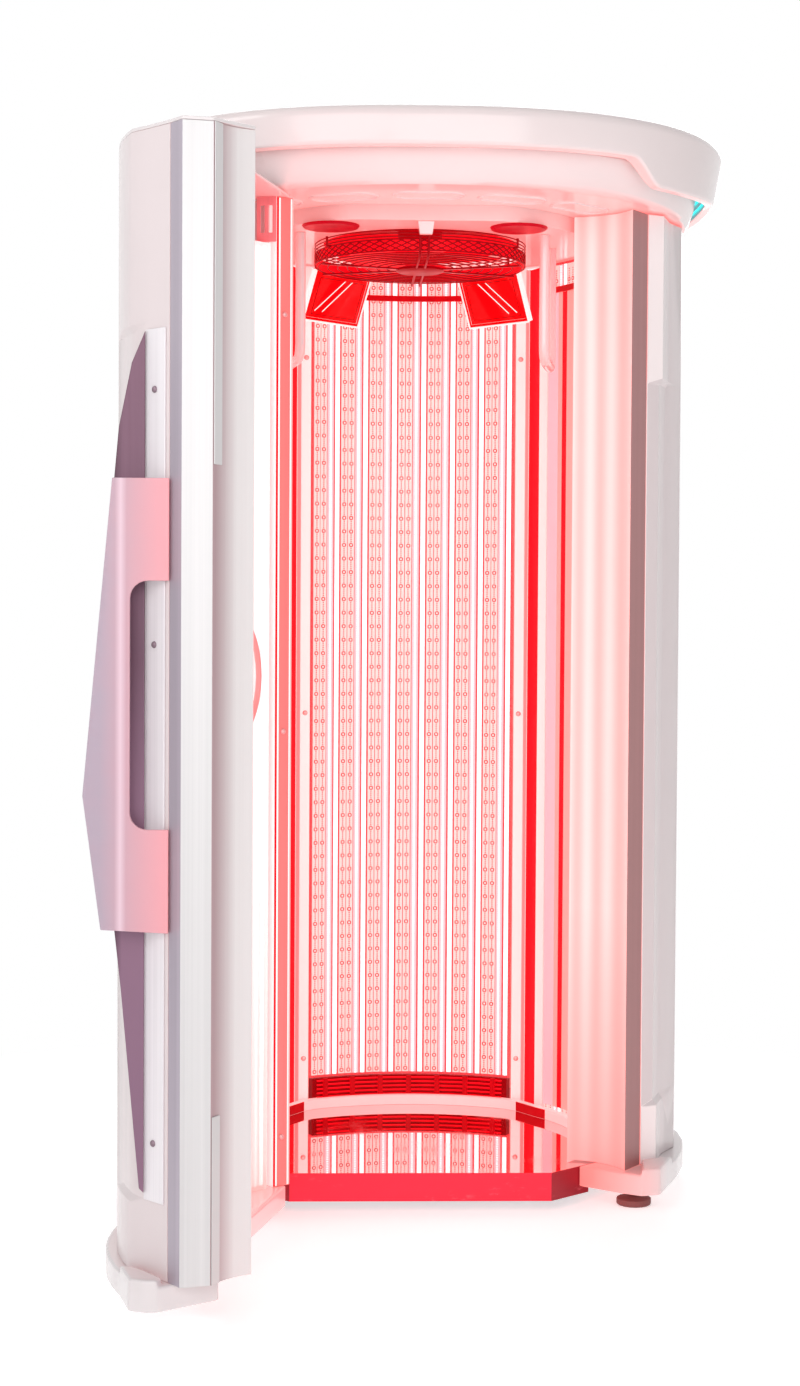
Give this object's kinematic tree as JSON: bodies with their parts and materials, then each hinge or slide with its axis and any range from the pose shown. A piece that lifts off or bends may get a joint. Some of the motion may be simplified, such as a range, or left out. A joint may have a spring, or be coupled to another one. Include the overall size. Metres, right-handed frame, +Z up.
{
  "type": "red_light_therapy_booth",
  "caption": "Stand-up red light therapy booth: round white cabin with LED walls, a polished floor, an overhanging canopy with a ceiling fan, and one curved door with an outer grip, swung open.",
  "frame": {"origin": "bottom centre of the box of the booth with its door open as pictured, on the floor under the levelling feet", "axes": "+X to the right of someone who faces the doorway, +Y towards the booth's back, +Z up"},
  "size_m": [1.29, 1.8166, 2.205],
  "materials": {
    "white_gloss": "gloss white moulded shell",
    "aluminium": "satin anodised extrusion",
    "steel": "brushed sheet",
    "polished_floor": "polished floor that mirrors the lamps",
    "crimson_sheet": "crimson folded sheet, scuffed",
    "dark_rubber": "matt rubber",
    "led_board": "printed boards with lit LEDs",
    "clear_acrylic": "clear acrylic cover",
    "rose_acrylic": "frosted rose acrylic",
    "mauve_fin": "mauve-grey satin sheet",
    "turquoise_light": "lit turquoise diffuser",
    "dark_red": "dark red coated metal",
    "black_plastic": "black moulded plastic"
  },
  "bodies": {
    "cabinet": {"air_inlet_grille": "dark_red", "back_acrylic": "clear_acrylic", "back_led_boards": "led_board", "base_frame": "steel", "canopy_body": "white_gloss", "canopy_rim": "white_gloss", "ceiling_panel": "white_gloss", "control_unit": "black_plastic", "door_stop": "white_gloss", "fan_guard": "dark_red", "fan_motor": "black_plastic", "floor_platform": "polished_floor", "front_kick_plate": "crimson_sheet", "left_accent_light": "turquoise_light", "left_acrylic": "clear_acrylic", "left_corner_post": "aluminium", "left_face_lamp": "white_gloss", "left_front_foot": "dark_rubber", "left_grip_bar": "white_gloss", "left_hinge_post": "aluminium", "left_led_boards": "led_board", "left_plinth": "white_gloss", "left_rear_foot": "dark_rubber", "left_side_shell": "white_gloss", "left_speaker": "dark_red", "lower_hinge_bracket": "steel", "mains_inlet": "black_plastic", "power_supply": "steel", "rear_shell": "white_gloss", "right_accent_light": "turquoise_light", "right_acrylic": "clear_acrylic", "right_corner_post": "aluminium", "right_face_lamp": "white_gloss", "right_front_foot": "dark_rubber", "right_grip_bar": "white_gloss", "right_jamb_profile": "aluminium", "right_led_boards": "led_board", "right_plinth": "white_gloss", "right_rear_foot": "dark_rubber", "right_side_shell": "white_gloss", "right_speaker": "dark_red", "roof_cover": "white_gloss", "roof_grille": "dark_red", "skirting_rail": "white_gloss", "upper_hinge_pin": "steel"},
    "door": {"door_acrylic": "clear_acrylic", "door_edge_profile": "aluminium", "door_foot_cover": "white_gloss", "door_handle": "rose_acrylic", "door_hinge_bracket": "steel", "door_hinge_stile": "aluminium", "door_led_boards": "led_board", "door_outer_shell": "white_gloss", "door_pull_ring": "white_gloss", "door_top_plate": "white_gloss", "edge_cover_lower": "aluminium", "edge_cover_upper": "aluminium", "handle_fin": "mauve_fin", "handle_strip": "aluminium"},
    "fan": {"fan_rotor": "dark_red"}
  },
  "joints": [
    {"name": "door_hinge", "type": "hinge", "parent": "cabinet", "child": "door", "pos_m": [-0.341, -0.15167, 1.05], "axis": [0, 0, 1], "range_deg": [-10, 104]},
    {"name": "fan_spin", "type": "hinge", "parent": "cabinet", "child": "fan", "pos_m": [0, 0.24833, 2], "axis": [0, 0, 1], "continuous": true}
  ]
}
